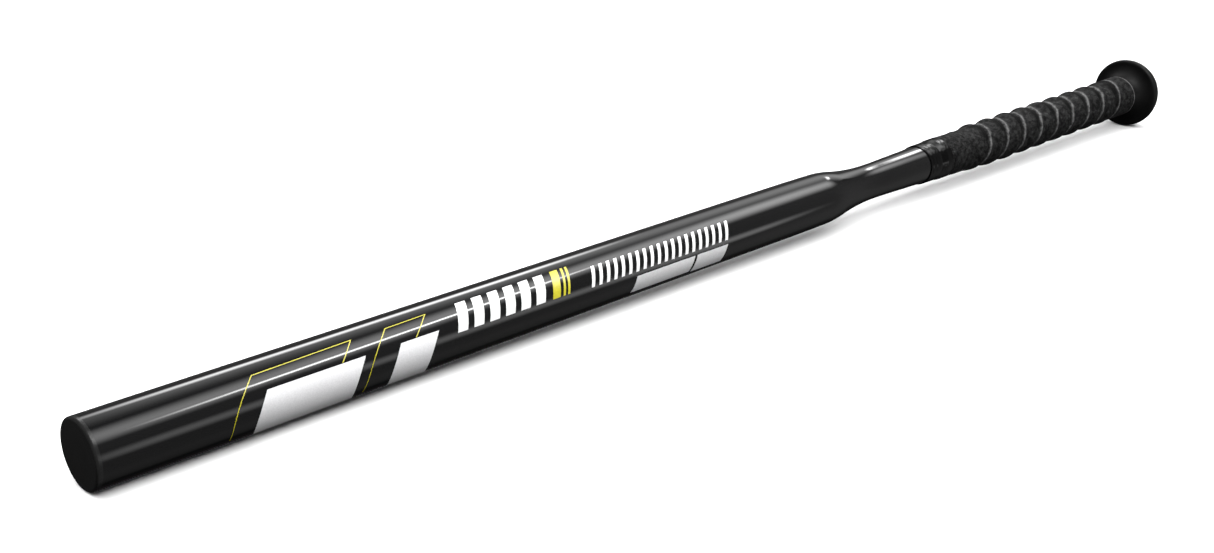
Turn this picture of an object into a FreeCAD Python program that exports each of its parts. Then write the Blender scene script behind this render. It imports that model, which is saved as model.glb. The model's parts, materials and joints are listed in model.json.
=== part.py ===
import FreeCAD, Part
import math
import os
import Sketcher

# A weighted thin-barrel bat for swing training, lying on a flat surface.
#
# Every piece is drawn in the bat's own frame: the axis is Z, height 0 is the flat end of the
# barrel and the height grows towards the knob. At the end all pieces get one common Placement,
# which lays the bat down along +X, resting on the edge of its barrel and the rim of its knob.

OUTPUT_FOLDER = "parts"

DIMENSIONS = {
    "overall_length": 863.6,

    # barrel, swaged shoulder, neck and handle: heights from the barrel's end, outside radii
    "barrel_radius": 15.875,
    "barrel_end": 442.0,
    "shoulder_height": 466.0,
    "shoulder_radius": 15.66,
    "shoulder_share": 0.33,
    "neck_height": 518.7,
    "neck_end": 526.0,
    "neck_radius": 11.0,
    "handle_height": 579.0,
    "handle_radius": 12.35,
    "handle_end": 835.0,
    "barrel_wall": 2.0,
    "handle_wall": 2.4,
    "sliding_gap": 0.05,

    # end cap
    "cap_thickness": 2.5,
    "cap_rounding": 1.2,
    "cap_spigot_length": 25.5,
    "cap_spigot_wall": 2.0,
    "lead_in": 0.8,

    # weight bar in its two rubber cups, and the foam on either side
    "weight_radius": 12.5,
    "weight_length": 76.4,
    "weight_chamfer": 1.0,
    "front_foam_length": 30.0,
    "cup_floor": 3.0,
    "cup_depth": 16.0,
    "stack_gap": 0.3,
    "rear_foam_end": 436.0,

    # knob and the roll pin that holds it
    "knob_spigot_length": 44.0,
    "knob_flare_height": 839.2,
    "knob_flare_radius": 9.4,
    "knob_radius": 25.15,
    "knob_rim_rounding": 1.8,
    "knob_land": 1.6,
    "knob_flat_radius": 12.0,
    "pin_height": 812.0,
    "pin_radius": 2.45,
    "pin_wall": 0.8,
    "pin_slot": 0.9,
    "pin_length": 23.8,

    # grip wrap: a strip wound on the handle, each turn lapping over the one nearer the knob
    "wrap_start": 580.5,
    "wrap_end": 838.0,
    "wrap_pitch": 21.8,
    "wrap_turns": 13.0,
    "wrap_lowest": 555.8,
    "strip_width": 30.0,
    "strip_thickness": 1.35,
    "strip_edge": 0.45,
    "strip_clearance": 0.06,
    "last_turn_start": 611.0,
    "last_turn_end": 638.0,
    "last_turn_thickness": 1.05,

    # finishing tape over the end of the wrap
    "tape_start": 571.5,
    "tape_step_start": 575.5,
    "tape_step_end": 581.5,
    "tape_end": 595.0,
    "tape_thickness": 0.3,
    "taped_wrap_thickness": 0.6,
}

SHEET_NAME = "Sizes"


class Size:
    """A length in millimetres, paired with the sheet formula that drives it."""

    def __init__(self, value, formula):
        self.value = value
        self.formula = formula

    def _joined(self, other, sign, value):
        return Size(value, f"({self.formula} {sign} {as_size(other).formula})")

    def __add__(self, other):
        return self._joined(other, "+", self.value + as_size(other).value)

    def __sub__(self, other):
        return self._joined(other, "-", self.value - as_size(other).value)

    def __mul__(self, other):
        return self._joined(other, "*", self.value * as_size(other).value)

    def __truediv__(self, other):
        return self._joined(other, "/", self.value / as_size(other).value)


def as_size(number):
    return number if isinstance(number, Size) else Size(number, repr(float(number)))


def size(alias):
    return Size(DIMENSIONS[alias], f"{SHEET_NAME}.{alias}")


def make_sheet(doc):
    """The driving dimensions as plain numbers in column B, named by column A."""
    sheet = doc.addObject("Spreadsheet::Sheet", SHEET_NAME)
    for row, (alias, value) in enumerate(DIMENSIONS.items(), start=1):
        sheet.set(f"A{row}", alias)
        sheet.set(f"B{row}", str(value))
        sheet.setAlias(f"B{row}", alias)
    doc.recompute()


# ---------------------------------------------------------------- outlines and bodies

class Corner:
    """A point of an outline. The edge that leaves it is straight, or an arc of the given radius.

    A positive side bends the arc to the left of the way it travels, a negative one to the right.
    """

    def __init__(self, across, height, arc=None, side=1):
        self.across = as_size(across)
        self.height = as_size(height)
        self.arc = arc
        self.side = side

    def point(self):
        return FreeCAD.Vector(self.across.value, self.height.value, 0)


def arc_edge(start, end, radius, side):
    """The shorter arc from start to end whose centre lies to the left (side 1) or right (-1)."""
    chord = end - start
    middle = (start + end) * 0.5
    to_left = FreeCAD.Vector(-chord.y, chord.x, 0).normalize()
    centre_distance = math.sqrt(radius ** 2 - (chord.Length / 2) ** 2)
    centre = middle + to_left * centre_distance * side
    crown = centre - to_left * radius * side
    return Part.Arc(start, crown, end)


def new_body(doc, label):
    body = doc.addObject("PartDesign::Body", label)
    body.Label = label
    return body


def new_sketch(body, name, plane_role):
    sketch = body.newObject("Sketcher::SketchObject", name)
    plane = next(item for item in body.Origin.OriginFeatures if item.Role == plane_role)
    sketch.AttachmentSupport = [(plane, "")]
    sketch.MapMode = "FlatFace"
    return sketch


def bind_constraint(sketch, constraint, length):
    index = sketch.addConstraint(constraint)
    sketch.setExpression(f"Constraints[{index}]", length.formula)


def near_end(sketch, edge, point):
    """Which end of an edge, 1 or 2, is at a point. A sketch may turn an arc round."""
    return 1 if (sketch.getPoint(edge, 1) - point).Length < 1e-6 else 2


def place_corner(sketch, edge, end, corner):
    """Tie a corner to the sketch's axes by its distance across and its height."""
    origin = (-1, 1)
    if corner.across.value == 0:
        sketch.addConstraint(Sketcher.Constraint("PointOnObject", edge, end, -2))
    else:
        across = Sketcher.Constraint("DistanceX", *origin, edge, end, corner.across.value)
        bind_constraint(sketch, across, corner.across)
    if corner.height.value == 0:
        sketch.addConstraint(Sketcher.Constraint("PointOnObject", edge, end, -1))
    else:
        height = Sketcher.Constraint("DistanceY", *origin, edge, end, corner.height.value)
        bind_constraint(sketch, height, corner.height)


def draw_outline(sketch, corners):
    """Draw a closed outline and bind every corner and arc radius to the sheet."""
    following = corners[1:] + corners[:1]
    edges = []
    for corner, after in zip(corners, following):
        if corner.arc is None:
            geometry = Part.LineSegment(corner.point(), after.point())
        else:
            geometry = arc_edge(corner.point(), after.point(), corner.arc.value, corner.side)
        edges.append(sketch.addGeometry(geometry, False))
    for position, corner in enumerate(corners):
        edge = edges[position]
        before = edges[position - 1]
        edge_end = near_end(sketch, edge, corner.point())
        before_end = near_end(sketch, before, corner.point())
        sketch.addConstraint(Sketcher.Constraint("Coincident", before, before_end, edge, edge_end))
        place_corner(sketch, edge, edge_end, corner)
    for corner, edge in zip(corners, edges):
        if corner.arc is not None:
            bind_constraint(sketch, Sketcher.Constraint("Radius", edge, corner.arc.value), corner.arc)


def turned_body(doc, label, corners):
    """A body made by turning an outline of (radius, height) corners once about its Z axis."""
    body = new_body(doc, label)
    sketch = new_sketch(body, f"{label}_outline", "XZ_Plane")
    draw_outline(sketch, corners)
    turned = body.newObject("PartDesign::Revolution", f"{label}_turned")
    turned.Profile = sketch
    turned.ReferenceAxis = (sketch, ["V_Axis"])
    turned.Angle = 360.0
    doc.recompute()
    return body


def cut_and_check(doc, body, cut):
    """Recompute a cutting feature and make sure that it removed something."""
    before = body.Shape.Volume
    doc.recompute()
    if not body.Shape.Volume < before - 1e-3:
        raise RuntimeError(f"{cut.Label} removed nothing from {body.Label}")


def turn_away(doc, body, name, corners):
    """Cut a ring of the given outline out of a body."""
    sketch = new_sketch(body, f"{name}_outline", "XZ_Plane")
    draw_outline(sketch, corners)
    groove = body.newObject("PartDesign::Groove", name)
    groove.Profile = sketch
    groove.ReferenceAxis = (sketch, ["V_Axis"])
    groove.Angle = 360.0
    cut_and_check(doc, body, groove)


def drill_across(doc, body, name, radius, height):
    """Drill a round hole right through a body, square to its axis and parallel to Y."""
    sketch = new_sketch(body, f"{name}_circle", "XZ_Plane")
    centre = FreeCAD.Vector(0, height.value, 0)
    circle = sketch.addGeometry(Part.Circle(centre, FreeCAD.Vector(0, 0, 1), radius.value), False)
    sketch.addConstraint(Sketcher.Constraint("PointOnObject", circle, 3, -2))
    bind_constraint(sketch, Sketcher.Constraint("DistanceY", -1, 1, circle, 3, height.value), height)
    bind_constraint(sketch, Sketcher.Constraint("Radius", circle, radius.value), radius)
    pocket = body.newObject("PartDesign::Pocket", name)
    pocket.Profile = sketch
    pocket.Type = "ThroughAll"
    pocket.Midplane = True
    cut_and_check(doc, body, pocket)


# ---------------------------------------------------------------- shared sizes

def shoulder_arcs(wall):
    """Corners from the shoulder to the neck: a convex arc that runs into a concave one.

    Both arcs lie along the axis at their outer ends and share a tangent where they meet, so
    their radii add up to (length^2 + drop^2) / (2 * drop).
    """
    length = size("neck_height") - size("shoulder_height")
    drop = size("shoulder_radius") - size("neck_radius") + (wall["neck"] - wall["shoulder"])
    radii_sum = (length * length + drop * drop) / (drop * 2)
    share = size("shoulder_share")
    start_radius = size("shoulder_radius") - wall["shoulder"]
    meeting_radius = start_radius - drop * share
    meeting_height = size("shoulder_height") + length * share
    return {
        "start": (start_radius, size("shoulder_height")),
        "meeting": (meeting_radius, meeting_height),
        "end": (size("neck_radius") - wall["neck"], size("neck_height")),
        "convex": radii_sum * share,
        "concave": radii_sum - radii_sum * share,
    }


def bore_radius():
    """Inside radius of the straight barrel."""
    return size("barrel_radius") - size("barrel_wall")


def inner_stack():
    """Heights of the pieces packed inside the barrel, from the end cap's spigot inwards."""
    gap = size("stack_gap")
    stack = {"front_foam": size("cap_thickness") + size("cap_spigot_length") + gap}
    stack["front_cup"] = stack["front_foam"] + size("front_foam_length") + gap
    stack["weight"] = stack["front_cup"] + size("cup_floor") + size("sliding_gap")
    stack["weight_end"] = stack["weight"] + size("weight_length")
    stack["rear_cup_end"] = stack["weight_end"] + size("sliding_gap") + size("cup_floor")
    stack["rear_foam"] = stack["rear_cup_end"] + gap
    return stack


# ---------------------------------------------------------------- pieces

def make_bat_shell(doc):
    """One-piece alloy tube: barrel, swaged shoulder, neck and handle, drilled for the pin."""
    outside = shoulder_arcs({"shoulder": as_size(0), "neck": as_size(0)})
    inside = shoulder_arcs({"shoulder": size("barrel_wall"), "neck": size("handle_wall")})
    barrel = size("barrel_radius")
    handle = size("handle_radius")
    handle_bore = handle - size("handle_wall")
    neck = size("neck_radius")
    neck_bore = neck - size("handle_wall")
    corners = [
        Corner(barrel, size("cap_thickness")),
        Corner(barrel, size("barrel_end")),
        Corner(*outside["start"], arc=outside["convex"]),
        Corner(*outside["meeting"], arc=outside["concave"], side=-1),
        Corner(*outside["end"]),
        Corner(neck, size("neck_end")),
        Corner(handle, size("handle_height")),
        Corner(handle, size("handle_end")),
        Corner(handle_bore, size("handle_end")),
        Corner(handle_bore, size("handle_height")),
        Corner(neck_bore, size("neck_end")),
        Corner(*inside["end"], arc=inside["concave"], side=1),
        Corner(*inside["meeting"], arc=inside["convex"], side=-1),
        Corner(*inside["start"]),
        Corner(bore_radius(), size("barrel_end")),
        Corner(bore_radius(), size("cap_thickness")),
    ]
    body = turned_body(doc, "bat_shell", corners)
    drill_across(doc, body, "shell_pin_hole", size("pin_radius") + size("sliding_gap"), size("pin_height"))
    return body


def make_end_cap(doc):
    """Flat plug with a rounded edge, flush with the barrel, on a hollow spigot."""
    thickness = size("cap_thickness")
    rounding = size("cap_rounding")
    rim = size("barrel_radius")
    spigot = bore_radius() - size("sliding_gap")
    spigot_end = thickness + size("cap_spigot_length")
    spigot_bore = spigot - size("cap_spigot_wall")
    corners = [
        Corner(0, 0),
        Corner(rim - rounding, 0, arc=rounding),
        Corner(rim, rounding),
        Corner(rim, thickness),
        Corner(spigot, thickness),
        Corner(spigot, spigot_end - size("lead_in")),
        Corner(spigot - size("lead_in"), spigot_end),
        Corner(spigot_bore, spigot_end),
        Corner(spigot_bore, thickness),
        Corner(0, thickness),
    ]
    return turned_body(doc, "end_cap", corners)


def make_foam_plug(doc, label, start, end):
    """Plain foam cylinder that fills the bore between two heights."""
    radius = bore_radius() - size("sliding_gap")
    corners = [Corner(0, start), Corner(radius, start), Corner(radius, end), Corner(0, end)]
    return turned_body(doc, label, corners)


def make_weight_cup(doc, label, floor_height, mouth_height, seat_height):
    """Rubber cup that holds one end of the weight bar in the middle of the bore."""
    outer = bore_radius() - size("sliding_gap")
    pocket = size("weight_radius") + size("sliding_gap")
    corners = [
        Corner(0, floor_height),
        Corner(outer, floor_height),
        Corner(outer, mouth_height),
        Corner(pocket, mouth_height),
        Corner(pocket, seat_height),
        Corner(0, seat_height),
    ]
    return turned_body(doc, label, corners)


def make_weight_bar(doc, stack):
    """Steel bar with chamfered ends."""
    radius = size("weight_radius")
    chamfer = size("weight_chamfer")
    corners = [
        Corner(0, stack["weight"]),
        Corner(radius - chamfer, stack["weight"]),
        Corner(radius, stack["weight"] + chamfer),
        Corner(radius, stack["weight_end"] - chamfer),
        Corner(radius - chamfer, stack["weight_end"]),
        Corner(0, stack["weight_end"]),
    ]
    return turned_body(doc, "weight_bar", corners)


def make_inner_stack(doc):
    """Foam, cup, weight, cup and foam, one after another inside the barrel."""
    stack = inner_stack()
    depth = size("cup_depth")
    floor = size("cup_floor")
    return [
        make_foam_plug(doc, "front_foam_plug", stack["front_foam"],
                       stack["front_foam"] + size("front_foam_length")),
        make_weight_cup(doc, "front_weight_cup", stack["front_cup"],
                        stack["front_cup"] + floor + depth, stack["front_cup"] + floor),
        make_weight_bar(doc, stack),
        make_weight_cup(doc, "rear_weight_cup", stack["rear_cup_end"],
                        stack["rear_cup_end"] - floor - depth, stack["rear_cup_end"] - floor),
        make_foam_plug(doc, "rear_foam_plug", stack["rear_foam"], size("rear_foam_end")),
    ]


def make_knob(doc):
    """Flared knob with a rounded rim and a domed back, on a spigot that plugs the handle."""
    spigot = size("handle_radius") - size("handle_wall") - size("sliding_gap")
    spigot_start = size("handle_end") - size("knob_spigot_length")
    neck = size("handle_radius")
    flare = size("knob_flare_radius")
    flare_start = size("knob_flare_height")
    rim = size("knob_radius")
    rounding = size("knob_rim_rounding")
    land_start = flare_start + flare + rounding
    land_end = land_start + size("knob_land")
    flat = size("knob_flat_radius")
    back = size("overall_length")
    dome_across = rim - flat
    dome_height = back - land_end
    dome = (dome_across * dome_across + dome_height * dome_height) / (dome_height * 2)
    corners = [
        Corner(0, spigot_start),
        Corner(spigot - size("lead_in"), spigot_start),
        Corner(spigot, spigot_start + size("lead_in")),
        Corner(spigot, size("handle_end")),
        Corner(neck, size("handle_end")),
        Corner(neck, flare_start, arc=flare, side=-1),
        Corner(neck + flare, flare_start + flare),
        Corner(rim - rounding, flare_start + flare, arc=rounding),
        Corner(rim, land_start),
        Corner(rim, land_end, arc=dome),
        Corner(flat, back),
        Corner(0, back),
    ]
    body = turned_body(doc, "knob", corners)
    drill_across(doc, body, "knob_pin_hole", size("pin_radius") + size("sliding_gap"), size("pin_height"))
    return body


def make_knob_pin(doc):
    """Slotted spring pin through the handle and the knob's spigot."""
    body = new_body(doc, "knob_pin")
    sketch = new_sketch(body, "knob_pin_section", "XZ_Plane")
    outer = size("pin_radius")
    inner = outer - size("pin_wall")
    half_slot = size("pin_slot") / 2
    height = size("pin_height")
    outer_reach = math.sqrt(outer.value ** 2 - half_slot.value ** 2)
    inner_reach = math.sqrt(inner.value ** 2 - half_slot.value ** 2)
    centre = FreeCAD.Vector(0, height.value, 0)
    ends = {
        "outer_low": centre + FreeCAD.Vector(outer_reach, -half_slot.value, 0),
        "outer_high": centre + FreeCAD.Vector(outer_reach, half_slot.value, 0),
        "inner_low": centre + FreeCAD.Vector(inner_reach, -half_slot.value, 0),
        "inner_high": centre + FreeCAD.Vector(inner_reach, half_slot.value, 0),
    }
    far_outer = centre - FreeCAD.Vector(outer.value, 0, 0)
    far_inner = centre - FreeCAD.Vector(inner.value, 0, 0)
    outer_arc = sketch.addGeometry(Part.Arc(ends["outer_high"], far_outer, ends["outer_low"]), False)
    inner_arc = sketch.addGeometry(Part.Arc(ends["inner_high"], far_inner, ends["inner_low"]), False)
    low_side = sketch.addGeometry(Part.LineSegment(ends["inner_low"], ends["outer_low"]), False)
    high_side = sketch.addGeometry(Part.LineSegment(ends["inner_high"], ends["outer_high"]), False)
    for side, name in ((low_side, "low"), (high_side, "high")):
        inner_end = near_end(sketch, inner_arc, ends[f"inner_{name}"])
        outer_end = near_end(sketch, outer_arc, ends[f"outer_{name}"])
        sketch.addConstraint(Sketcher.Constraint("Coincident", side, 1, inner_arc, inner_end))
        sketch.addConstraint(Sketcher.Constraint("Coincident", side, 2, outer_arc, outer_end))
        sketch.addConstraint(Sketcher.Constraint("Horizontal", side))
    sketch.addConstraint(Sketcher.Constraint("Coincident", outer_arc, 3, inner_arc, 3))
    sketch.addConstraint(Sketcher.Constraint("PointOnObject", outer_arc, 3, -2))
    bind_constraint(sketch, Sketcher.Constraint("DistanceY", -1, 1, outer_arc, 3, height.value), height)
    bind_constraint(sketch, Sketcher.Constraint("Radius", outer_arc, outer.value), outer)
    bind_constraint(sketch, Sketcher.Constraint("Radius", inner_arc, inner.value), inner)
    slot_below = Sketcher.Constraint("DistanceY", low_side, 1, outer_arc, 3, half_slot.value)
    bind_constraint(sketch, slot_below, half_slot)
    slot_above = Sketcher.Constraint("DistanceY", outer_arc, 3, high_side, 1, half_slot.value)
    bind_constraint(sketch, slot_above, half_slot)
    pad = body.newObject("PartDesign::Pad", "knob_pin_length")
    pad.Profile = sketch
    pad.Midplane = True
    pad.setExpression("Length", size("pin_length").formula)
    doc.recompute()
    return body


def wrap_strip_section():
    """Section of the wound strip: it lies on the handle, then climbs onto the next turn.

    A hair of clearance keeps each turn free of the one below it, and thin edges let the
    lapped part blend down to the single layer.
    """
    inner = size("handle_radius") + size("sliding_gap")
    pitch = size("wrap_pitch")
    width = size("strip_width")
    thick = size("strip_thickness")
    edge = size("strip_edge")
    lift = size("strip_clearance")
    low = size("wrap_lowest")
    first_top = inner + thick
    lapped_top = first_top + thick + lift
    lap = width - pitch
    step_end = low + pitch - lift * 2
    step_start = step_end - edge * 2.5
    return [
        Corner(inner, low),
        Corner(inner, step_start),
        Corner(inner + edge + lift, step_end),
        Corner(first_top + lift, low + width),
        Corner(lapped_top - edge / 2, low + width),
        Corner(lapped_top, low + width - edge),
        Corner(lapped_top, low + width - edge * 4),
        Corner(first_top + edge + lift, step_end),
        Corner(first_top, step_end - edge * 8),
        Corner(first_top, low + lap),
        Corner(inner + edge, low),
    ]


def make_grip_wrap(doc):
    """Cushioned strip wound left-handed along the handle, trimmed square at both ends."""
    body = new_body(doc, "grip_wrap")
    sketch = new_sketch(body, "grip_wrap_section", "XZ_Plane")
    draw_outline(sketch, wrap_strip_section())
    doc.recompute()
    wound = body.newObject("PartDesign::AdditiveHelix", "grip_wrap_wound")
    wound.Profile = sketch
    wound.ReferenceAxis = (sketch, ["V_Axis"])
    wound.Mode = "pitch-height-angle"
    wound.LeftHanded = True
    wound.setExpression("Pitch", size("wrap_pitch").formula)
    wound.setExpression("Height", (size("wrap_pitch") * size("wrap_turns")).formula)
    doc.recompute()
    cut_inner = size("neck_radius")
    cut_outer = size("barrel_radius")
    handle = size("handle_radius") + size("sliding_gap")
    taped = handle + size("taped_wrap_thickness")
    thinned = handle + size("last_turn_thickness")
    crest = handle + size("strip_thickness") * 2 + size("strip_clearance")
    turn_away(doc, body, "grip_wrap_tape_end", [
        Corner(cut_inner, size("wrap_lowest") - 5),
        Corner(cut_outer, size("wrap_lowest") - 5),
        Corner(cut_outer, size("last_turn_end")),
        Corner(crest, size("last_turn_end")),
        Corner(thinned, size("last_turn_start")),
        Corner(taped, size("tape_end") + 1),
        Corner(taped, size("wrap_start")),
        Corner(cut_inner, size("wrap_start")),
    ])
    cut_end = size("wrap_lowest") + size("wrap_pitch") * size("wrap_turns") + size("strip_width") + 5
    turn_away(doc, body, "grip_wrap_knob_end", [
        Corner(cut_inner, size("wrap_end")),
        Corner(cut_outer, size("wrap_end")),
        Corner(cut_outer, cut_end),
        Corner(cut_inner, cut_end),
    ])
    return body


def make_finishing_tape(doc):
    """Thin vinyl sleeve that steps up from the handle onto the end of the wrap."""
    low = size("handle_radius") + size("sliding_gap")
    high = low + size("taped_wrap_thickness") + size("sliding_gap")
    thick = size("tape_thickness")
    step_start = size("tape_step_start")
    step_end = size("tape_step_end") - size("tape_thickness") * 5
    corners = [
        Corner(low, size("tape_start")),
        Corner(low + thick, size("tape_start")),
        Corner(low + thick, step_start),
        Corner(high + thick, size("tape_step_end")),
        Corner(high + thick, size("tape_end")),
        Corner(high, size("tape_end")),
        Corner(high, step_end),
        Corner(low, step_start + thick / 2),
    ]
    return turned_body(doc, "finishing_tape", corners)


# ---------------------------------------------------------------- placing and writing

def resting_placement():
    """Lay the bat along +X so that its barrel's edge and its knob's rim both touch height 0.

    The centres of the two roundings are at (radius, height); the lowest point of each rounding
    is one rounding radius below its centre, whatever the tilt.
    """
    cap_rounding = DIMENSIONS["cap_rounding"]
    rim_rounding = DIMENSIONS["knob_rim_rounding"]
    cap_centre = (DIMENSIONS["barrel_radius"] - cap_rounding, cap_rounding)
    rim_height = DIMENSIONS["knob_flare_height"] + DIMENSIONS["knob_flare_radius"] + rim_rounding
    rim_centre = (DIMENSIONS["knob_radius"] - rim_rounding, rim_height)
    rise = rim_centre[0] - cap_centre[0]
    run = rim_centre[1] - cap_centre[1]
    extra = rim_rounding - cap_rounding
    tilt = math.atan2(rise, run) + math.asin(extra / math.hypot(rise, run))
    axis_height = (cap_centre[0] * math.cos(tilt) - cap_centre[1] * math.sin(tilt)) + cap_rounding
    start = FreeCAD.Vector(0, 0, axis_height)
    along = FreeCAD.Vector(math.cos(tilt), 0, math.sin(tilt))
    across = FreeCAD.Vector(0, 1, 0)
    downward = across.cross(along)
    rotation = FreeCAD.Rotation(downward, across, along, "ZXY")
    return FreeCAD.Placement(start, rotation)


def centre_on_length(bodies):
    """Shift all bodies so that the whole bat is centred on X = 0."""
    box = FreeCAD.BoundBox()
    for body in bodies:
        box.add(body.Shape.optimalBoundingBox(False))
    shift = FreeCAD.Vector(-(box.XMin + box.XMax) / 2, 0, 0)
    for body in bodies:
        body.Placement = FreeCAD.Placement(body.Placement.Base + shift, body.Placement.Rotation)


def check_document(doc, bodies):
    for item in doc.Objects:
        if {"Invalid", "Error"} & set(item.State):
            raise RuntimeError(f"{item.Label} failed: {item.State}")
    for body in bodies:
        shape = body.Shape
        if shape.isNull() or not shape.isValid() or len(shape.Solids) != 1:
            raise RuntimeError(f"{body.Label} is not one valid solid")


def main():
    doc = FreeCAD.newDocument("weighted_training_bat")
    make_sheet(doc)
    bodies = [make_bat_shell(doc), make_end_cap(doc)]
    bodies += make_inner_stack(doc)
    bodies += [make_knob(doc), make_knob_pin(doc), make_grip_wrap(doc), make_finishing_tape(doc)]
    placement = resting_placement()
    for body in bodies:
        body.Placement = placement
    centre_on_length(bodies)
    doc.recompute()
    check_document(doc, bodies)
    os.makedirs(OUTPUT_FOLDER, exist_ok=True)
    for body in bodies:
        body.Shape.exportStep(os.path.join(OUTPUT_FOLDER, f"{body.Label}.step"))
        print(f"{body.Label}: {body.Shape.Volume:.0f} mm3")


main()
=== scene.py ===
import json
import math

import bmesh
import bpy
from mathutils import Matrix, Vector, noise


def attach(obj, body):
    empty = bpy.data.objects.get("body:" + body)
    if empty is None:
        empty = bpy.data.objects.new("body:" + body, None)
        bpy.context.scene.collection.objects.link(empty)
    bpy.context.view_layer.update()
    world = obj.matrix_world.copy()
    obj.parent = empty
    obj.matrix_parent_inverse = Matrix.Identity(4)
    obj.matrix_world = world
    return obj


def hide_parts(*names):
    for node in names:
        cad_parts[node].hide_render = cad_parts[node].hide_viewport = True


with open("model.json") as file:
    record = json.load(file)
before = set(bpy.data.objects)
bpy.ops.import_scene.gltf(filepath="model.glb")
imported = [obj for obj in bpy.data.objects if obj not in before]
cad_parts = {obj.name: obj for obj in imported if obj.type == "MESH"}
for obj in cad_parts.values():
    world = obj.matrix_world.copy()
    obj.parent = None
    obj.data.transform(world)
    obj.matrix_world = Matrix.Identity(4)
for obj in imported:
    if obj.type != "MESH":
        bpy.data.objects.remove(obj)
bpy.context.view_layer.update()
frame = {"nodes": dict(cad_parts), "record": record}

# ---------------------------------------------------------------- the bat's own frame
# Heights run along the bat's axis from the flat end of the barrel, radii go out from the axis,
# and angles turn round it from level on the camera's side (0) over the top (90 degrees). The
# camera stands at the VIEW angle, and everything printed on the barrel is placed from there.

MM = 0.001
MICRON = 0.000001
MOUNTS = {mount["name"]: mount for mount in frame["record"]["mounts"]}
START = Vector(MOUNTS["barrel_end"]["pos_m"])
ALONG = (Vector(MOUNTS["knob_end"]["pos_m"]) - START).normalized()
LEVEL = Vector((0, -1, 0))
UPWARD = LEVEL.cross(ALONG).normalized()
VIEW = 27.2


def on_bat(height, radius, degrees):
    """The point at a height, radius (both in millimetres) and angle round the axis."""
    angle = math.radians(degrees)
    outward = LEVEL * math.cos(angle) + UPWARD * math.sin(angle)
    return START + ALONG * (height * MM) + outward * (radius * MM)


# ---------------------------------------------------------------- sizes as in the CAD, in mm

BARREL_RADIUS = MOUNTS["barrel_sleeve"]["dims"]["r_mm"]
BARREL_END = 442.0
SHOULDER_HEIGHT = 466.0
SHOULDER_RADIUS = 15.66
SHOULDER_SHARE = 0.33
NECK_HEIGHT = 518.7
NECK_END = 526.0
NECK_RADIUS = 11.0
HANDLE_HEIGHT = 579.0
HANDLE_RADIUS = 12.35
HANDLE_END = 835.0
BARREL_WALL = 2.0
HANDLE_WALL = 2.4
CAP_THICKNESS = 2.5
SLIDING_GAP = 0.05
GRIP_BORE = HANDLE_RADIUS + SLIDING_GAP  # inside radius of the wrap and the tape

WRAP_START = 580.5
WRAP_END = 838.0
WRAP_PITCH = 21.8
WRAP_LOWEST = 555.8
STRIP_WIDTH = 30.0
STRIP_THICKNESS = 1.35
TAPED_THICKNESS = 0.6

TAPE_START = 571.5
TAPE_END = 595.0
TAPE_THICKNESS = 0.3


# ---------------------------------------------------------------- mesh helpers

def new_object(name, data):
    obj = bpy.data.objects.new(name, data)
    bpy.context.scene.collection.objects.link(obj)
    return obj


def mesh_from(name, points, faces, sharp_degrees=35):
    """A smooth-shaded mesh object from points and faces, with outward normals."""
    mesh = bpy.data.meshes.new(name)
    mesh.from_pydata(points, [], faces)
    work = bmesh.new()
    work.from_mesh(mesh)
    bmesh.ops.recalc_face_normals(work, faces=work.faces)
    work.to_mesh(mesh)
    work.free()
    mesh.shade_smooth()
    mesh.set_sharp_from_angle(angle=math.radians(sharp_degrees))
    return new_object(name, mesh)


def angles_round(steps):
    return [360 * step / steps for step in range(steps)]


def ring(height, radius, steps):
    """Points evenly spaced round the axis."""
    return [on_bat(height, radius, degrees) for degrees in angles_round(steps)]


def ring_faces(rings, steps):
    """Quads between neighbouring rings of a grid that closes on itself both ways."""
    faces = []
    for row in range(rings):
        after = (row + 1) % rings
        for step in range(steps):
            beside = (step + 1) % steps
            faces.append((row * steps + step, row * steps + beside,
                          after * steps + beside, after * steps + step))
    return faces


def turned(name, outline, steps):
    """A closed ring-shaped piece: an outline of (height, radius) turned round the axis."""
    points = []
    for height, radius in outline:
        points += ring(height, radius, steps)
    return mesh_from(name, points, ring_faces(len(outline), steps))


def relief_sleeve(name, heights, steps, relief, inside):
    """A sleeve whose outside radius is relief(height, degrees).

    Its inside is the line of (height, radius) points, turned round the axis.
    """
    angles = angles_round(steps)
    points = []
    for height in heights:
        points += [on_bat(height, relief(height, degrees), degrees) for degrees in angles]
    for height, radius in reversed(inside):
        points += ring(height, radius, steps)
    return mesh_from(name, points, ring_faces(len(heights) + len(inside), steps), sharp_degrees=50)


def arc_points(start, end, radius, side, count):
    """Points strictly between two (height, radius) points, on the arc of the given radius."""
    (h0, r0), (h1, r1) = start, end
    chord = math.hypot(h1 - h0, r1 - r0)
    reach = math.sqrt(radius ** 2 - (chord / 2) ** 2)
    normal = (-(r1 - r0) / chord * side, (h1 - h0) / chord * side)
    centre = ((h0 + h1) / 2 + normal[0] * reach, (r0 + r1) / 2 + normal[1] * reach)
    first = math.atan2(r0 - centre[1], h0 - centre[0])
    last = math.atan2(r1 - centre[1], h1 - centre[0])
    swept = (last - first + math.pi) % (2 * math.pi) - math.pi
    angles = [first + swept * index / (count + 1) for index in range(1, count + 1)]
    return [(centre[0] + radius * math.cos(angle), centre[1] + radius * math.sin(angle))
            for angle in angles]


def evenly(first, last, spacing):
    """Values from first to last inclusive, about spacing apart."""
    count = max(1, round(abs(last - first) / spacing))
    return [first + (last - first) * index / count for index in range(count + 1)]


def blend(low, high, share):
    """From low to high as share goes from 0 to 1, with a soft start and end."""
    share = min(1.0, max(0.0, share))
    return low + (high - low) * share * share * (3 - 2 * share)


def mix(ends, share):
    """The number at a share of the way between two others."""
    return ends[0] + (ends[1] - ends[0]) * share


def bell(distance, width, power=2):
    """1 at distance 0, falling towards 0 past a width on either side. A higher power is flatter."""
    return math.exp(-(distance / width) ** power)


# ---------------------------------------------------------------- the painted tube

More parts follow.
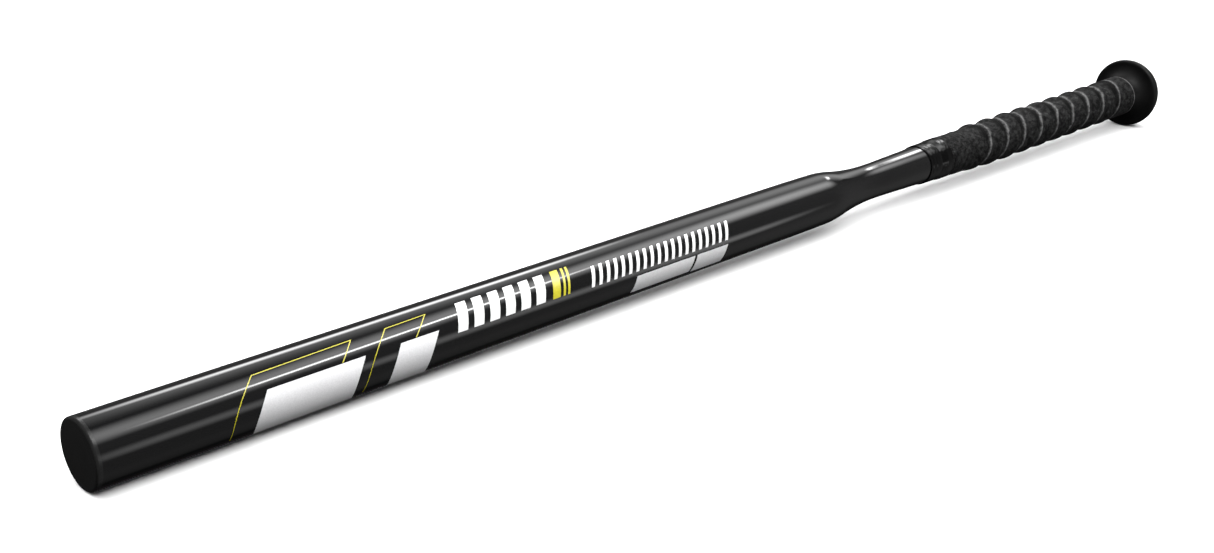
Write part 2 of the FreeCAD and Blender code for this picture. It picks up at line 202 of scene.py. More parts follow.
TUBE_STEPS = 160
ARC_POINTS = 24


def shoulder_line(shoulder_wall, neck_wall):
    """The S-curve from the shoulder to the neck: two arcs that share a tangent."""
    start = (SHOULDER_HEIGHT, SHOULDER_RADIUS - shoulder_wall)
    end = (NECK_HEIGHT, NECK_RADIUS - neck_wall)
    length = end[0] - start[0]
    drop = start[1] - end[1]
    radii_sum = (length ** 2 + drop ** 2) / (2 * drop)
    middle = (start[0] + length * SHOULDER_SHARE, start[1] - drop * SHOULDER_SHARE)
    convex = arc_points(start, middle, radii_sum * SHOULDER_SHARE, -1, ARC_POINTS)
    concave = arc_points(middle, end, radii_sum * (1 - SHOULDER_SHARE), 1, ARC_POINTS)
    return [start, *convex, middle, *concave, end]


def tube_line(barrel_wall, handle_wall):
    """The tube's line of (height, radius) at a depth below its outside, from barrel to handle."""
    barrel = BARREL_RADIUS - barrel_wall
    handle = HANDLE_RADIUS - handle_wall
    return [(CAP_THICKNESS, barrel), (BARREL_END, barrel),
            *shoulder_line(barrel_wall, handle_wall), (NECK_END, NECK_RADIUS - handle_wall),
            (HANDLE_HEIGHT, handle), (HANDLE_END, handle)]


def make_tube():
    """The one-piece tube with its wall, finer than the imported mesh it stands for."""
    outline = tube_line(0, 0) + tube_line(BARREL_WALL, HANDLE_WALL)[::-1]
    tube = turned("painted_tube", outline, TUBE_STEPS)
    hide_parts("bat_shell")
    return tube


# ---------------------------------------------------------------- printed graphics
# Each print is a thin closed film on the barrel, and its angles are measured from the VIEW angle.

FILM_LIFT = 0.012
FILM_THICKNESS = 0.045
FILM_STEP = 3  # degrees between the points of a film's edge
MITRE_LIMIT = 0.3

# name, start height, end height, low angle, high angle, lean, bow
SILVER_PANELS = (
    ("silver_panel_long", 78.3, 128.8, -84, 0, 11.8, 6.8),
    ("silver_panel_short", 148.3, 170.0, -84, 0, 11.8, 6.8),
    ("label_plate_long", 301.5, 346.0, -63, -27, 5.5, 0.0),
    ("label_plate_short", 348.0, 372.5, -66, -27, 5.5, 0.0),
)

# name, then four (angle, height) points: near foot, near corner, far corner, far foot
PINSTRIPES = (
    ("pinstripe_long", (-70, 59.8), (29.5, 74.5), (33.0, 125.5), (1.0, 116.6)),
    ("pinstripe_short", (-70, 127.3), (33.0, 144.3), (34.5, 167.2), (1.0, 156.9)),
)
PINSTRIPE_WIDTH = 0.4
PINSTRIPE_BULGE = 4.6
TOP_SPACING = 4
FAR_LEG_SPACING = 1.5

BAR_LEAN = 6
BAR_ANGLES = (-15, 36)
YELLOW_BARS = ((241.5, 246.5), (248.5, 250.0), (251.5, 253.0))
WHITE_BARS = {"count": 6, "first": 181.5, "spacing": 9.8, "width": 6.0}
TICK_ANGLES = (-18, 20)
TICK_BARS = {"count": 20, "first": 268.0, "spacing": 5.35, "width": 2.2}


def film(name, rungs):
    """A closed film, from the pairs of (height, angle) points that face each other on its sides."""
    points = []
    for radius in (BARREL_RADIUS + FILM_LIFT, BARREL_RADIUS + FILM_LIFT + FILM_THICKNESS):
        for rung in rungs:
            points += [on_bat(height, radius, VIEW + angle) for height, angle in rung]
    half = len(rungs) * 2
    faces = [(0, 1, half + 1, half), (half - 2, half - 1, 2 * half - 1, 2 * half - 2)]
    for row in range(len(rungs) - 1):
        a, b, c, d = 2 * row, 2 * row + 1, 2 * row + 3, 2 * row + 2
        faces += [(a, b, c, d), (a + half, b + half, c + half, d + half)]
        faces += [(a, d, d + half, a + half), (b, c, c + half, b + half)]
    return mesh_from(name, points, faces)


def slanted_bar(name, start, end, low, high, lean, bow=0.0):
    """A film from low to high angle, whose two ends lean the same way.

    Without a bow each end is a straight cut across the tube; with one it curves at either side.
    """
    rungs = []
    for angle in evenly(low, high, FILM_STEP):
        turn = math.radians(angle)
        shift = lean * math.sin(turn) + bow * (1 - math.cos(turn))
        rungs.append(((start + shift, angle), (end + shift, angle)))
    return film(name, rungs)


def bar_row(label, count, first, spacing, width, angles):
    """Evenly spaced slanted bars. The label has a place for a bar's number in it."""
    bars = []
    for index in range(count):
        start = first + spacing * index
        bars.append(slanted_bar(label.format(index), start, start + width, *angles, BAR_LEAN))
    return bars


def mitred_sides(path, width):
    """The two sides of a line of the given width along (height, arc length) points."""
    left, right = [], []
    for index, (x, y) in enumerate(path):
        before = path[max(index - 1, 0)]
        after = path[min(index + 1, len(path) - 1)]
        incoming = Vector((x - before[0], y - before[1])).normalized()
        outgoing = Vector((after[0] - x, after[1] - y)).normalized()
        along = (incoming + outgoing).normalized()
        across = Vector((-along.y, along.x))
        leading = outgoing if index < len(path) - 1 else incoming
        reach = width / 2 / max(MITRE_LIMIT, across.dot(Vector((-leading.y, leading.x))))
        left.append((x + across.x * reach, y + across.y * reach))
        right.append((x - across.x * reach, y - across.y * reach))
    return left, right


def pinstripe(name, path):
    """A film line of constant width along (angle, height) points, with mitred corners."""
    flat = [(height, math.radians(angle) * BARREL_RADIUS) for angle, height in path]
    rungs = []
    for side in zip(*mitred_sides(flat, PINSTRIPE_WIDTH)):
        rungs.append([(height, math.degrees(arc / BARREL_RADIUS)) for height, arc in side])
    return film(name, rungs)


def swept_leg(foot, corner):
    """Points of a pinstripe's curved leg, from its foot (angle, height) up to its corner."""
    points = []
    for angle in evenly(corner[0], foot[0], FILM_STEP):
        share = (corner[0] - angle) / (corner[0] - foot[0])
        straight = corner[1] + (foot[1] - corner[1]) * share
        points.append((angle, straight - PINSTRIPE_BULGE * math.sin(math.pi * share)))
    return points[::-1]


def flat_run(start, end, spacing):
    """Points strictly between two (angle, height) points on a straight line."""
    heights = evenly(start[1], end[1], spacing)[1:-1]
    slope = (end[0] - start[0]) / (end[1] - start[1])
    return [(start[0] + slope * (height - start[1]), height) for height in heights]


def pinstripe_frame(name, near_foot, near_corner, far_corner, far_foot):
    """A pinstripe that goes up one leg, along the barrel and down a shorter leg."""
    near_leg = swept_leg(near_foot, near_corner)
    top = flat_run(near_corner, far_corner, TOP_SPACING)
    far_leg = flat_run(far_corner, far_foot, FAR_LEG_SPACING)
    return pinstripe(name, [*near_leg, *top, far_corner, *far_leg, far_foot])


def make_graphics(inks):
    """The printed films, each with the ink of its colour."""
    silver = [slanted_bar(*panel) for panel in SILVER_PANELS]
    yellow = [pinstripe_frame(*stripe) for stripe in PINSTRIPES]
    for index, (start, end) in enumerate(YELLOW_BARS):
        yellow.append(slanted_bar(f"yellow_bar_{index}", start, end, *BAR_ANGLES, BAR_LEAN))
    white = bar_row("white_bar_{}", **WHITE_BARS, angles=BAR_ANGLES)
    white += bar_row("tick_bar_{:02d}", **TICK_BARS, angles=TICK_ANGLES)
    for ink, films in (("silver", silver), ("yellow", yellow), ("white", white)):
        for piece in films:
            piece.data.materials.append(inks[ink])
            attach(piece, "root")


# ---------------------------------------------------------------- grip wrap
# Each turn's knob-side edge lies on the next turn towards the knob and is exposed. The distance
# past the last such edge, towards the knob, decides where in a turn a point of the surface is.

WRAP_STEPS = 144
WRAP_SPACING = 0.55
WRAP_MARGIN = 1.0

LAP_EDGE = WRAP_LOWEST + STRIP_WIDTH
SMOOTH_RADIUS = GRIP_BORE + STRIP_THICKNESS
CREST_RADIUS = SMOOTH_RADIUS + STRIP_THICKNESS
LAID_RADIUS = SMOOTH_RADIUS - 0.1
VALLEY_RADIUS = SMOOTH_RADIUS - 1.0
SINGLE_RADIUS = SMOOTH_RADIUS - 0.3
KNOB_TURN_RADIUS = CREST_RADIUS - 0.25
THINNEST = GRIP_BORE + 0.2

# distances past the exposed edge at which one turn's shape changes
HOLLOW_END = 3.4
LAID_START = 5.0
LAP_START = 9.0
CREST_START = 17.0
EDGE_START = 18.6

# the taped end, the single last turn beside it, the smooth turn at the knob and the trimmed end
CLIMB_START = 583.0
CLIMB_LENGTH = 8.0
FEATHERED_THICKNESS = 0.15
TAPED_END = TAPE_END - 0.5
UNTAPED_RISE = 3.0
LAST_TURN_START = 611.0
LAST_TURN_END = 638.0
SEAM_HEIGHT = 0.12
SEAM_WIDTH = 1.2
SEAM_PLACE = WRAP_PITCH - 1
KNOB_TURN_START = 800.0
KNOB_TURN_LENGTH = 18.0
END_ROUNDING = 0.9
END_DROP = 0.5

# the cushion is pressed thinner over the top of the handle and hangs thicker below it
SAG = 0.3
SAG_LENGTH = 20.0

# the grip's plain tone, in general and on the knob's side; a painted highlight at the trimmed end;
# and the painted highlight on each turn's pale line and the painted shade in its hollow
PLAIN_TONE = 0.39
KNOB_TONE = 0.4
KNOB_TONE_LENGTH = 16.0
END_HIGHLIGHT = 1.0
END_BAND = 1.8
LINE_HIGHLIGHT = 0.53
HOLLOW_SHADE = 0.45
# where along the handle the painted shade and painted highlight of the turns begin to show
PAINTED_TURN_LIGHT_START = LAST_TURN_END - 14
PAINTED_TURN_LIGHT_RISE = 8.0

# the painted shade and painted highlight are fullest over the top of the handle, where the light
# falls: sine of the angle at which they start to show, and how much the sine grows until they are
# full
LIT_TOP_FROM = 0.35
LIT_TOP_RISE = 0.5

# the painted shade in the hollow and the painted highlight on the pale line of each turn, on the
# sides and over the top of the handle
HOLLOW_SHADE_STRENGTH = (0.3, 1.0)
HOLLOW_WIDTH = (2.6, 4.6)
LINE_PLACE = (4.6, 5.5)
LINE_WIDTH = (0.9, 2.0)


def past_edge(height, degrees):
    """How far a point is past the last exposed edge on the barrel's side of it, in millimetres."""
    return (height - LAP_EDGE - WRAP_PITCH * (degrees % 360 + 90) / 360) % WRAP_PITCH


def turn_profile(past):
    """Radius across one turn: hollow, strip coming out of it, up over the lap, round its edge."""
    if past < HOLLOW_END:
        return VALLEY_RADIUS
    if past < LAP_START:
        rise = (past - HOLLOW_END) / (LAID_START - HOLLOW_END)
        return blend(VALLEY_RADIUS, LAID_RADIUS, rise)
    if past < CREST_START:
        return blend(LAID_RADIUS, CREST_RADIUS, (past - LAP_START) / (CREST_START - LAP_START))
    fall = max(0.0, (past - EDGE_START) / (WRAP_PITCH - EDGE_START))
    return VALLEY_RADIUS + (CREST_RADIUS - VALLEY_RADIUS) * math.sqrt(1 - fall ** 2)


def lumps(height, degrees, depth, size, seed):
    """Smooth noise up to depth high and low, with features of about size, in millimetres."""
    place = on_bat(height, HANDLE_RADIUS, degrees) / (size * MM)
    return depth * noise.noise(place + Vector((seed, 0, 0)))


def taped_climb(height):
    """How far the taped end has climbed from the handle on to the strip, from 0 to 1."""
    return blend(0, 1, (height - CLIMB_START) / CLIMB_LENGTH)


def wound_radius(height, degrees):
    """The wrap's untaped outside: lapped turns, and a single layer in the last one."""
    past = past_edge(height, degrees)
    radius = turn_profile(past)
    radius += lumps(height, degrees, depth=0.22, size=9, seed=3)
    radius += lumps(height, degrees, depth=0.1, size=3, seed=4)
    if height < LAST_TURN_END:
        single = SINGLE_RADIUS + SEAM_HEIGHT * bell(past - SEAM_PLACE, SEAM_WIDTH)
        single += lumps(height, degrees, depth=0.1, size=8, seed=5)
        lapped = (height - LAST_TURN_START) / (LAST_TURN_END - LAST_TURN_START)
        radius = blend(single, radius, lapped)
    return radius


def wrap_relief(height, degrees):
    """The wrap's outside radius, with its taped end, its smooth knob turn and its trimmed end."""
    radius = wound_radius(height, degrees)
    if height < TAPED_END + UNTAPED_RISE:
        taped = GRIP_BORE + blend(FEATHERED_THICKNESS, TAPED_THICKNESS, taped_climb(height))
        radius = blend(taped, radius, (height - TAPED_END) / UNTAPED_RISE)
    if height > KNOB_TURN_START:
        smooth = KNOB_TURN_RADIUS + lumps(height, degrees, depth=0.15, size=14, seed=8)
        radius = blend(radius, smooth, (height - KNOB_TURN_START) / KNOB_TURN_LENGTH)
    sag = SAG * blend(0, 1, (height - TAPE_END) / SAG_LENGTH) * math.sin(math.radians(degrees))
    end_drop = blend(0, END_DROP, (height - WRAP_END + END_ROUNDING) / END_ROUNDING)
    return max(THINNEST, radius - sag - end_drop)


def lit_top_share(degrees):
    """How much of the painted shade and highlight shows: 1 over the top of the handle, where the
    light falls, 0 from the sides down.
    """
    return blend(0, 1, (math.sin(math.radians(degrees)) - LIT_TOP_FROM) / LIT_TOP_RISE)


def tone_and_painted_light_at(height, degrees):
    """From 0 in the painted shade of the hollow round an edge to 1 on the painted highlight of the
    pale line where the strip comes out of it.

    Both are widest over the top of the handle, where the light falls.
    """
    # a painted highlight along the trimmed end, then the plain tone on the knob's side
    if height > WRAP_END - END_BAND:
        return END_HIGHLIGHT
    if height > WRAP_END - KNOB_TONE_LENGTH:
        return KNOB_TONE
    past = past_edge(height, degrees)
    from_edge = min(past, abs(past - WRAP_PITCH))
    # painted shade in the hollow and a painted highlight on the pale line, over the plain tone
    lit_top = lit_top_share(degrees)
    hollow = mix(HOLLOW_SHADE_STRENGTH, lit_top) * bell(from_edge, mix(HOLLOW_WIDTH, lit_top), power=4)
    line = bell(past - mix(LINE_PLACE, lit_top), mix(LINE_WIDTH, lit_top))
    shown = blend(0, 1, (height - PAINTED_TURN_LIGHT_START) / PAINTED_TURN_LIGHT_RISE)
    return PLAIN_TONE + shown * (LINE_HIGHLIGHT * line - HOLLOW_SHADE * hollow)


def make_wrap():
    """The cushioned strip, wound left-handed, with the relief of each lap."""
    rows = evenly(WRAP_START + WRAP_MARGIN, WRAP_END - WRAP_MARGIN, WRAP_SPACING)
    heights = [WRAP_START, *rows, WRAP_END - WRAP_MARGIN / 2, WRAP_END]
    inside = [(WRAP_START, GRIP_BORE), (WRAP_END, GRIP_BORE)]
    wrap = relief_sleeve("wound_grip", heights, WRAP_STEPS, wrap_relief, inside)
    # each point of the wrap carries its tone with painted shade and painted highlights
    tone_and_painted_light = wrap.data.attributes.new("tone_and_painted_light", "FLOAT", "POINT")
    places = [(height, degrees) for height in heights for degrees in angles_round(WRAP_STEPS)]
    for point, place in zip(tone_and_painted_light.data, places):
        point.value = tone_and_painted_light_at(*place)
    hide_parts("grip_wrap")
    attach(wrap, "root")
    return wrap


# ---------------------------------------------------------------- finishing tape

TAPE_STEPS = 240
TAPE_SPACING = 0.3
TAPE_LINING_CLIMB = (580.0, 591.0)  # where the tape's inside climbs on to the strip
TAPE_FEATHERED = 0.12

# where each layer ends: a small step, slightly askew round the handle
TAPE_LAYERS = (573.5, 577.0, 588.5)
LAYER_RISE = 0.08
LAYER_EDGE = 0.5
LAYER_SKEW = 0.5
LAYER_TURN = 70

# the furrow where the tape steps up on to the strip
FURROW_HEIGHT = 583.6
FURROW_DEPTH = 0.2
FURROW_WIDTH = 0.7
FURROW_SKEW = 0.6

# the wrinkles run along the handle and die out towards the tape's two ends
WRINKLE_STRETCH = 0.35
CALM_START = 1.5
CALM_END = 1.0


def tape_relief(height, degrees):
    """The tape's outside: it wrinkles, climbs on to the strip, and has a furrow at the step."""
    radius = GRIP_BORE + TAPE_THICKNESS
    radius += blend(TAPE_FEATHERED, TAPED_THICKNESS, taped_climb(height)) + SLIDING_GAP
    for index, layer in enumerate(TAPE_LAYERS):
        skew = LAYER_SKEW * math.sin(math.radians(degrees + LAYER_TURN * index))
        radius += LAYER_RISE * (blend(0, 1, (height - layer - skew) / LAYER_EDGE) - 0.5)
    furrow_place = FURROW_HEIGHT + FURROW_SKEW * math.sin(math.radians(degrees))
    furrow = FURROW_DEPTH * bell(height - furrow_place, FURROW_WIDTH)
    wrinkle = lumps(height * WRINKLE_STRETCH, degrees, depth=0.12, size=2.6, seed=11)
    wrinkle += lumps(height, degrees, depth=0.05, size=1.5, seed=17)
    from_ends = min((height - TAPE_START) / CALM_START, (TAPE_END - height) / CALM_END)
    return radius - furrow + min(1.0, from_ends) * wrinkle


def make_tape():
    """Wrinkled vinyl tape, wound a few times over the end of the wrap."""
    over_wrap = GRIP_BORE + TAPED_THICKNESS + SLIDING_GAP
    climb_start, climb_end = TAPE_LINING_CLIMB
    inside = [(TAPE_START, GRIP_BORE), (climb_start, GRIP_BORE),
              (climb_end, over_wrap), (TAPE_END, over_wrap)]
    heights = evenly(TAPE_START, TAPE_END, TAPE_SPACING)
    tape = relief_sleeve("vinyl_tape_band", heights, TAPE_STEPS, tape_relief, inside)
    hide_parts("finishing_tape")
    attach(tape, "root")
    return tape


# ---------------------------------------------------------------- materials

def grey(value):
    return (value, value, value)


def new_material(name, colour, roughness, specular=0.5, metallic=0.0):
    material = bpy.data.materials.new(name)
    material.use_nodes = True
    shader = material.node_tree.nodes["Principled BSDF"]
    shader.inputs["Base Color"].default_value = (*colour, 1)
    shader.inputs["Roughness"].default_value = roughness
    shader.inputs["Specular IOR Level"].default_value = specular
    shader.inputs["Metallic"].default_value = metallic
    return material, material.node_tree, shader


def fill_socket(tree, socket, value):
    """Link a value that is a socket; set one that is a number, a vector or a colour."""
    if isinstance(value, bpy.types.NodeSocket):
        tree.links.new(value, socket)
    else:
        socket.default_value = value


def add_node(tree, kind, settings=None, **inputs):
    """A node with its settings and inputs. An underscore in an input's name is a space."""
    node = tree.nodes.new(kind)
    for key, value in (settings or {}).items():
        setattr(node, key, value)
    for key, value in inputs.items():
        fill_socket(tree, node.inputs[key.replace("_", " ")], value)
    return node


def object_place(tree, stretch=(1, 1, 1)):
    """Object coordinates in metres, stretched along each axis."""
    coordinates = add_node(tree, "ShaderNodeTexCoord").outputs["Object"]
    mapping = add_node(tree, "ShaderNodeMapping", Vector=coordinates, Scale=stretch)
    return mapping.outputs["Vector"]


def noise_value(tree, place, scale, detail=2.0, roughness=0.5):
    texture = add_node(tree, "ShaderNodeTexNoise", Vector=place, Scale=scale, Detail=detail,
                       Roughness=roughness)
    return texture.outputs["Fac"]


def ramp(tree, value, low, high, from_min=0.3, from_max=0.7):
    """A number that goes from low to high as value goes from from_min to from_max."""
    node = add_node(tree, "ShaderNodeMapRange", Value=value, From_Min=from_min, From_Max=from_max,
                    To_Min=low, To_Max=high)
    return node.outputs["Result"]


def combine(tree, operation, first, second):
    """The result of a math node on two sockets or numbers."""
    node = add_node(tree, "ShaderNodeMath", {"operation": operation})
    fill_socket(tree, node.inputs[0], first)
    fill_socket(tree, node.inputs[1], second)
    return node.outputs[0]


def colours_along(tree, value, stops):
    """A colour that passes through the (place, colour) stops as value goes from 0 to 1."""
    node = add_node(tree, "ShaderNodeValToRGB", Fac=value)
    elements = node.color_ramp.elements
    while len(elements) < len(stops):
        elements.new(0.5)
    for element, (place, colour) in zip(elements, stops):
        element.position = place
        element.color = (*colour, 1)
    return node.outputs["Color"]


def tint_between(tree, shader, value, dark, light):
    """Colour a surface from dark to light as the value goes from its low to its high."""
    share = ramp(tree, value, 0, 1)
    tint = colours_along(tree, share, ((0.0, dark), (1.0, light)))
    tree.links.new(tint, shader.inputs["Base Color"])


def vary_roughness(tree, shader, value, low, high):
    tree.links.new(ramp(tree, value, low, high), shader.inputs["Roughness"])


def add_bump(tree, shader, height, distance):
    bump = add_node(tree, "ShaderNodeBump", Height=height, Distance=distance, Strength=1.0)
    tree.links.new(bump.outputs["Normal"], shader.inputs["Normal"])


def paint_material():
    """Deep gloss black with the faint waviness of sprayed lacquer."""
    material, tree, shader = new_material("gloss_black_paint", grey(0.006), roughness=0.06,
                                          specular=0.13)
    place = object_place(tree)
    flecks = noise_value(tree, place, scale=2600)
    tint_between(tree, shader, flecks, (0.0040, 0.0040, 0.0042), (0.0054, 0.0054, 0.0056))
    add_bump(tree, shader, noise_value(tree, place, scale=350, detail=1.0), 4 * MICRON)
    return material


def ink_material(name, dark, light, roughness):
    """Screen-printed ink: fine uneven grain in its colour and surface."""
    material, tree, shader = new_material(name, light, roughness, specular=0.3)
    grain = noise_value(tree, object_place(tree), scale=1800, detail=3.0)
    tint_between(tree, shader, grain, dark, light)
    add_bump(tree, shader, grain, 4 * MICRON)
    return material


def moulded_material(name, dark, light, roughness, specular=0.4):
    """Moulded plastic: a fine spark-eroded grain and faint flow marks."""
    material, tree, shader = new_material(name, grey(dark), roughness, specular)
    place = object_place(tree)
    grain = noise_value(tree, place, scale=2200, detail=3.0)
    tint_between(tree, shader, noise_value(tree, place, scale=60), grey(dark), grey(light))
    vary_roughness(tree, shader, grain, roughness - 0.06, roughness + 0.06)
    add_bump(tree, shader, grain, 30 * MICRON)
    return material


def grip_material():
    """Sueded synthetic leather: dark nap, with painted shade in the hollows and painted highlights
    along the pale lines and the trimmed end.
    """
    material, tree, shader = new_material("sueded_grip", grey(0.02), roughness=0.6, specular=0.015)
    place = object_place(tree)
    patches = noise_value(tree, place, scale=340, detail=5.0, roughness=0.7)
    grain = noise_value(tree, place, scale=1300, detail=3.0, roughness=0.6)
    # the wrap's tone with its painted shade and painted highlights, read from its points
    tone_and_painted_light = add_node(tree, "ShaderNodeAttribute", {"attribute_name": "tone_and_painted_light"}).outputs["Fac"]
    mottle = combine(tree, "ADD", ramp(tree, patches, -0.3, 0.25), ramp(tree, grain, -0.12, 0.12))
    shade = combine(tree, "ADD", tone_and_painted_light, mottle)
    stops = ((0.0, grey(0.001)), (0.25, grey(0.003)), (0.6, grey(0.026)), (1.0, grey(0.12)))
    tree.links.new(colours_along(tree, shade, stops), shader.inputs["Base Color"])
    add_bump(tree, shader, grain, 150 * MICRON)
    return material


def vinyl_material():
    """Glossy stretched vinyl with fine tension lines round the handle."""
    material, tree, shader = new_material("wrinkled_vinyl", grey(0.001), roughness=0.12,
                                          specular=0.055)
    lines = noise_value(tree, object_place(tree, (1, 0.15, 0.15)), scale=900)
    vary_roughness(tree, shader, lines, 0.06, 0.2)
    add_bump(tree, shader, lines, 60 * MICRON)
    return material


def steel_material(name, colour, roughness, ring_scale):
    """Turned steel: fine rings along its length and slightly uneven polish."""
    material, tree, shader = new_material(name, colour, roughness, metallic=1.0)
    rings = noise_value(tree, object_place(tree, (1, 0.02, 0.02)), ring_scale, detail=3.0)
    vary_roughness(tree, shader, rings, roughness - 0.1, roughness + 0.1)
    add_bump(tree, shader, rings, 20 * MICRON)
    return material


def foam_material():
    """Pale closed-cell foam with round pores."""
    material, tree, shader = new_material("closed_cell_foam", (0.55, 0.54, 0.5), roughness=0.9,
                                          specular=0.2)
    place = object_place(tree)
    cells = add_node(tree, "ShaderNodeTexVoronoi", Vector=place, Scale=900.0).outputs["Distance"]
    depth = ramp(tree, cells, 0, 1, from_min=0.0, from_max=0.6)
    tint = colours_along(tree, depth, ((0.0, (0.6, 0.59, 0.55)), (1.0, (0.4, 0.39, 0.36))))
    tree.links.new(tint, shader.inputs["Base Color"])
    add_bump(tree, shader, cells, 300 * MICRON)
    return material


def finish_nodes():
    """Materials for the CAD nodes that stay, seen or hidden inside."""
    foam = foam_material()
    rubber = moulded_material("moulded_rubber", 0.03, 0.05, roughness=0.75)
    finishes = {
        "end_cap": moulded_material("cap_plastic", 0.010, 0.013, roughness=0.2, specular=0.13),
        "knob": moulded_material("knob_plastic", 0.002, 0.004, roughness=0.55, specular=0.05),
        "front_foam_plug": foam,
        "rear_foam_plug": foam,
        "front_weight_cup": rubber,
        "rear_weight_cup": rubber,
        "weight_bar": steel_material("turned_steel", (0.52, 0.52, 0.53), 0.3, ring_scale=2500),
        "knob_pin": steel_material("spring_steel", (0.4, 0.4, 0.41), 0.4, ring_scale=1500),
    }
    for node, material in finishes.items():
        slots = frame["nodes"][node].data.materials
        slots.clear()
        slots.append(material)


# ---------------------------------------------------------------- studio

CAMERA_LENS = 44.0
SENSOR_WIDTH = 36.0
NEAREST_SEEN = 0.01
CAMERA_FROM_START = Vector((-0.21930, -0.52181, 0.26604))
CAMERA_FACING = Vector((0.65804, 0.67120, -0.34128))

FLOOR_HALF = 1.3
FLOOR_DROP = 0.0002
FLOOR_WHITE = 0.9
FLOOR_ROUGHNESS = 0.9

# Lamps that show only in reflections: name, where each starts and ends as (height, angle), its
# width in degrees, its radiance, and its softness lengthwise and across.
STRIPS = (
    ("key", (-150, 50), (2050, 86), 54, 14.5, (0.3, 0.5)),
    ("wide", (200, 127), (3000, 112), 70, 3.0, (0.1, 0.5)),
    ("narrow", (400, 50.4), (1180, 65.6), 8, 110.0, (0.31, 0.5)),
    ("rim", (280, 142), (1250, 135), 23, 20.0, (0.3, 0.5)),
    ("neck", (1745, 111), (1930, 111), 34, 29.0, (0.45, 0.5)),
    ("front", (250, -1), (1650, -17), 32, 5.5, (0.15, 0.5)),
)
STRIP_DISTANCE = 1000

# Lamps that light surfaces and don't show in reflections: name, angle, width, radiance.
LAMPS = (("above", 73, 72, 4.4), ("behind", 138, 44, 2.4), ("before", -14, 40, 0.55))
LAMP_ENDS = (-1100, 1900)
LAMP_DISTANCE = 1500


def add_camera():
    data = bpy.data.cameras.new("camera")
    data.lens = CAMERA_LENS
    data.sensor_width = SENSOR_WIDTH
    data.clip_start = NEAREST_SEEN
    camera = new_object("camera", data)
    camera.location = START + CAMERA_FROM_START
    camera.rotation_euler = CAMERA_FACING.to_track_quat("-Z", "Y").to_euler()
    bpy.context.scene.camera = camera


def add_floor():
    corners = [(-FLOOR_HALF, -FLOOR_HALF, 0), (FLOOR_HALF, -FLOOR_HALF, 0),
               (FLOOR_HALF, FLOOR_HALF, 0), (-FLOOR_HALF, FLOOR_HALF, 0)]
    floor = mesh_from("floor", corners, [(0, 1, 2, 3)])
    white, _, _ = new_material("floor_white", grey(FLOOR_WHITE), FLOOR_ROUGHNESS, specular=0.0)
    floor.data.materials.append(white)
    floor.location.z = -FLOOR_DROP
    floor.visible_glossy = False
    floor.visible_diffuse = False


def strip_light(name, first, last, width, radiance, distance):
    """A long lamp beside the bat, at a distance from its axis, that shines at the axis.

    It runs from first to last, each a (height, angle) on the bat, and is as wide as width degrees
    seen from the axis.
    """
    near = on_bat(first[0], distance, first[1])
    far = on_bat(last[0], distance, last[1])
    middle = (near + far) / 2
    inward = (on_bat((first[0] + last[0]) / 2, 0, 0) - middle).normalized()
    across = inward.cross((far - near).normalized()).normalized()
    lengthwise = across.cross(inward)
    data = bpy.data.lights.new(name, "AREA")
    data.shape = "RECTANGLE"
    data.size = (far - near).length
    data.size_y = 2 * distance * MM * math.tan(math.radians(width / 2))
    data.energy = radiance * math.pi * data.size * data.size_y
    lamp = new_object(name, data)
    rotation = Matrix((lengthwise, across, -inward)).transposed().to_4x4()
    lamp.matrix_world = Matrix.Translation(middle) @ rotation
    lamp.visible_camera = False
    return lamp


def soft_edge(tree, place, softness):
    """From 0 at either edge of the lamp (place 0 or 1) to 1 at a softness inwards."""
    nearest = combine(tree, "MINIMUM", place, combine(tree, "SUBTRACT", 1.0, place))
    rise = add_node(tree, "ShaderNodeMapRange", {"interpolation_type": "SMOOTHSTEP"},
                    Value=nearest, From_Min=0.0, From_Max=softness)
    return rise.outputs["Result"]


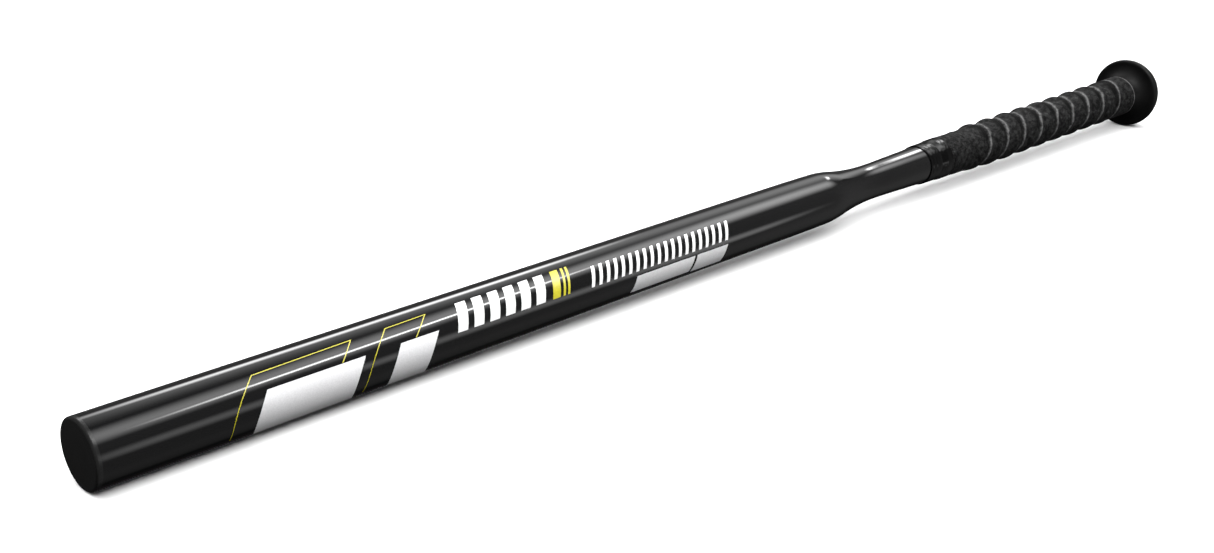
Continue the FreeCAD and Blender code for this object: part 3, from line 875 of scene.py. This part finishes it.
def fade_edges(light, lengthwise, across):
    """Fade a lamp's glow in from its ends and its sides, each over a share of its size."""
    light.use_nodes = True
    tree = light.node_tree
    place = add_node(tree, "ShaderNodeNewGeometry").outputs["Parametric"]
    axes = add_node(tree, "ShaderNodeSeparateXYZ", Vector=place).outputs
    glow = combine(tree, "MULTIPLY", soft_edge(tree, axes["X"], lengthwise),
                   soft_edge(tree, axes["Y"], across))
    tree.links.new(glow, tree.nodes["Emission"].inputs["Strength"])


def add_lights():
    for name, first, last, width, radiance, softness in STRIPS:
        lamp = strip_light(name, first, last, width, radiance, STRIP_DISTANCE)
        fade_edges(lamp.data, *softness)
        lamp.visible_diffuse = False
    for name, degrees, width, radiance in LAMPS:
        first, last = [(height, degrees) for height in LAMP_ENDS]
        lamp = strip_light(name, first, last, width, radiance, LAMP_DISTANCE)
        lamp.visible_glossy = False


def add_world():
    """White where the camera sees it.

    Surfaces get a dim glow from above and a dimmer one from below, and reflections also get a
    brighter one from in front.
    """
    world = bpy.data.worlds.new("studio")
    world.use_nodes = True
    tree = world.node_tree
    ray = add_node(tree, "ShaderNodeLightPath").outputs
    direction = add_node(tree, "ShaderNodeTexCoord").outputs["Generated"]
    axes = add_node(tree, "ShaderNodeSeparateXYZ", Vector=direction).outputs
    from_above = ramp(tree, axes["Z"], 0.03, 0.15, from_min=-0.45, from_max=-0.1)
    from_front = ramp(tree, axes["Y"], 0.6, 0.0, from_min=-0.45, from_max=0.15)
    reflected = combine(tree, "MULTIPLY", from_front, ray["Is Glossy Ray"])
    glow = combine(tree, "MAXIMUM", from_above, reflected)
    background = tree.nodes["Background"].inputs
    background["Color"].default_value = (1, 1, 1, 1)
    tree.links.new(combine(tree, "MAXIMUM", glow, ray["Is Camera Ray"]), background["Strength"])
    bpy.context.scene.world = world
    bpy.context.scene.view_settings.view_transform = "Standard"


# ---------------------------------------------------------------- building

def main():
    add_camera()
    tube = make_tube()
    tube.data.materials.append(paint_material())
    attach(tube, "root")
    make_graphics({
        "silver": ink_material("silver_ink", (0.68, 0.68, 0.69), (0.78, 0.78, 0.79), 0.45),
        "white": ink_material("white_ink", grey(0.78), grey(0.84), 0.4),
        "yellow": ink_material("yellow_ink", (0.40, 0.36, 0.008), (0.50, 0.45, 0.010), 0.4),
    })
    make_wrap().data.materials.append(grip_material())
    make_tape().data.materials.append(vinyl_material())
    finish_nodes()
    add_floor()
    add_lights()
    add_world()


main()
